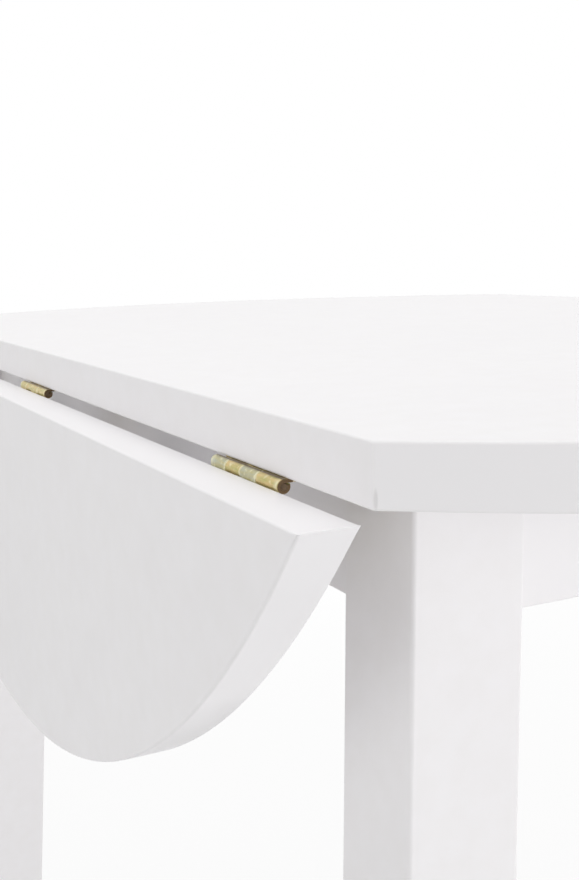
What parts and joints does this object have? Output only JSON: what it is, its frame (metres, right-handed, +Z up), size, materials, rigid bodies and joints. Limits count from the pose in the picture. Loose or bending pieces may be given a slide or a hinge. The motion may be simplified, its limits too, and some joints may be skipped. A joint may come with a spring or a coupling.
{
  "type": "drop-leaf dining table",
  "caption": "Round white drop-leaf dining table: a fixed centre board with arc ends, D-shaped leaves that hang on butt hinges, and square splayed legs under plain aprons.",
  "frame": {"origin": "on the floor under the middle of the centre board", "axes": "+X across the seams towards the right leaf, +Y along the seams towards the rear, +Z up"},
  "size_m": [0.6074, 0.9, 0.75],
  "materials": {
    "lacquered_board": "satin white lacquer on a wood-based board",
    "lacquered_frame": "satin white lacquer on solid wood",
    "passivated_hinge": "yellow passivated zinc on pressed steel",
    "hinge_pin_steel": "drawn steel wire, browned",
    "plated_steel": "bright zinc plate",
    "screw_steel": "yellow passivated zinc",
    "painted_arm": "white powder coat",
    "glide_plastic": "moulded nylon"
  },
  "bodies": {
    "frame": {"centre_top": "lacquered_board", "front_left_leg": "lacquered_frame", "front_left_glide": "glide_plastic", "front_left_corner_bracket": "plated_steel", "front_right_leg": "lacquered_frame", "front_right_glide": "glide_plastic", "front_right_corner_bracket": "plated_steel", "rear_left_leg": "lacquered_frame", "rear_left_glide": "glide_plastic", "rear_left_corner_bracket": "plated_steel", "rear_right_leg": "lacquered_frame", "rear_right_glide": "glide_plastic", "rear_right_corner_bracket": "plated_steel", "left_side_apron": "lacquered_frame", "right_side_apron": "lacquered_frame", "front_end_apron": "lacquered_frame", "rear_end_apron": "lacquered_frame", "left_front_hinge_top_plate": "passivated_hinge", "left_front_hinge_pin": "hinge_pin_steel", "left_middle_hinge_top_plate": "passivated_hinge", "left_middle_hinge_pin": "hinge_pin_steel", "left_rear_hinge_top_plate": "passivated_hinge", "left_rear_hinge_pin": "hinge_pin_steel", "left_front_prop_fork": "plated_steel", "left_rear_prop_fork": "plated_steel", "right_front_hinge_top_plate": "passivated_hinge", "right_front_hinge_pin": "hinge_pin_steel", "right_middle_hinge_top_plate": "passivated_hinge", "right_middle_hinge_pin": "hinge_pin_steel", "right_rear_hinge_top_plate": "passivated_hinge", "right_rear_hinge_pin": "hinge_pin_steel", "right_front_prop_fork": "plated_steel", "right_rear_prop_fork": "plated_steel", "hinge_top_screws": "screw_steel", "corner_bracket_screws": "screw_steel", "angle_bracket_screws": "screw_steel", "prop_fork_screws": "screw_steel", "leg_bolts": "plated_steel", "leg_nuts": "plated_steel", "angle_brackets": "plated_steel", "prop_rivets": "plated_steel"},
    "left_leaf": {"left_leaf": "lacquered_board", "left_leaf_screws": "screw_steel", "left_front_hinge_leaf_plate": "passivated_hinge", "left_middle_hinge_leaf_plate": "passivated_hinge", "left_rear_hinge_leaf_plate": "passivated_hinge", "left_front_strike_plate": "plated_steel", "left_rear_strike_plate": "plated_steel"},
    "left_front_prop": {"left_front_prop_arm": "painted_arm"},
    "left_rear_prop": {"left_rear_prop_arm": "painted_arm"},
    "right_leaf": {"right_leaf": "lacquered_board", "right_leaf_screws": "screw_steel", "right_front_hinge_leaf_plate": "passivated_hinge", "right_middle_hinge_leaf_plate": "passivated_hinge", "right_rear_hinge_leaf_plate": "passivated_hinge", "right_front_strike_plate": "plated_steel", "right_rear_strike_plate": "plated_steel"},
    "right_front_prop": {"right_front_prop_arm": "painted_arm"},
    "right_rear_prop": {"right_rear_prop_arm": "painted_arm"}
  },
  "joints": [
    {"name": "left_leaf_hinge", "type": "hinge", "parent": "frame", "child": "left_leaf", "pos_m": [-0.2835, 0, 0.7298], "axis": [0, 1, 0], "range_deg": [0, 90]},
    {"name": "left_front_prop_pivot", "type": "hinge", "parent": "frame", "child": "left_front_prop", "pos_m": [-0.2555, -0.1, 0.688], "axis": [0, 1, 0], "range_deg": [0, 112]},
    {"name": "left_rear_prop_pivot", "type": "hinge", "parent": "frame", "child": "left_rear_prop", "pos_m": [-0.2555, 0.1, 0.688], "axis": [0, 1, 0], "range_deg": [0, 112]},
    {"name": "right_leaf_hinge", "type": "hinge", "parent": "frame", "child": "right_leaf", "pos_m": [0.2835, 0, 0.7298], "axis": [0, -1, 0], "range_deg": [0, 90]},
    {"name": "right_front_prop_pivot", "type": "hinge", "parent": "frame", "child": "right_front_prop", "pos_m": [0.2555, -0.1, 0.688], "axis": [0, -1, 0], "range_deg": [0, 112]},
    {"name": "right_rear_prop_pivot", "type": "hinge", "parent": "frame", "child": "right_rear_prop", "pos_m": [0.2555, 0.1, 0.688], "axis": [0, -1, 0], "range_deg": [0, 112]}
  ],
  "couplings": [
    {"joint": "left_front_prop_pivot", "follows": "left_leaf_hinge", "ratio": 1.2444},
    {"joint": "left_rear_prop_pivot", "follows": "left_leaf_hinge", "ratio": 1.2444},
    {"joint": "right_front_prop_pivot", "follows": "right_leaf_hinge", "ratio": 1.2444},
    {"joint": "right_rear_prop_pivot", "follows": "right_leaf_hinge", "ratio": 1.2444}
  ]
}
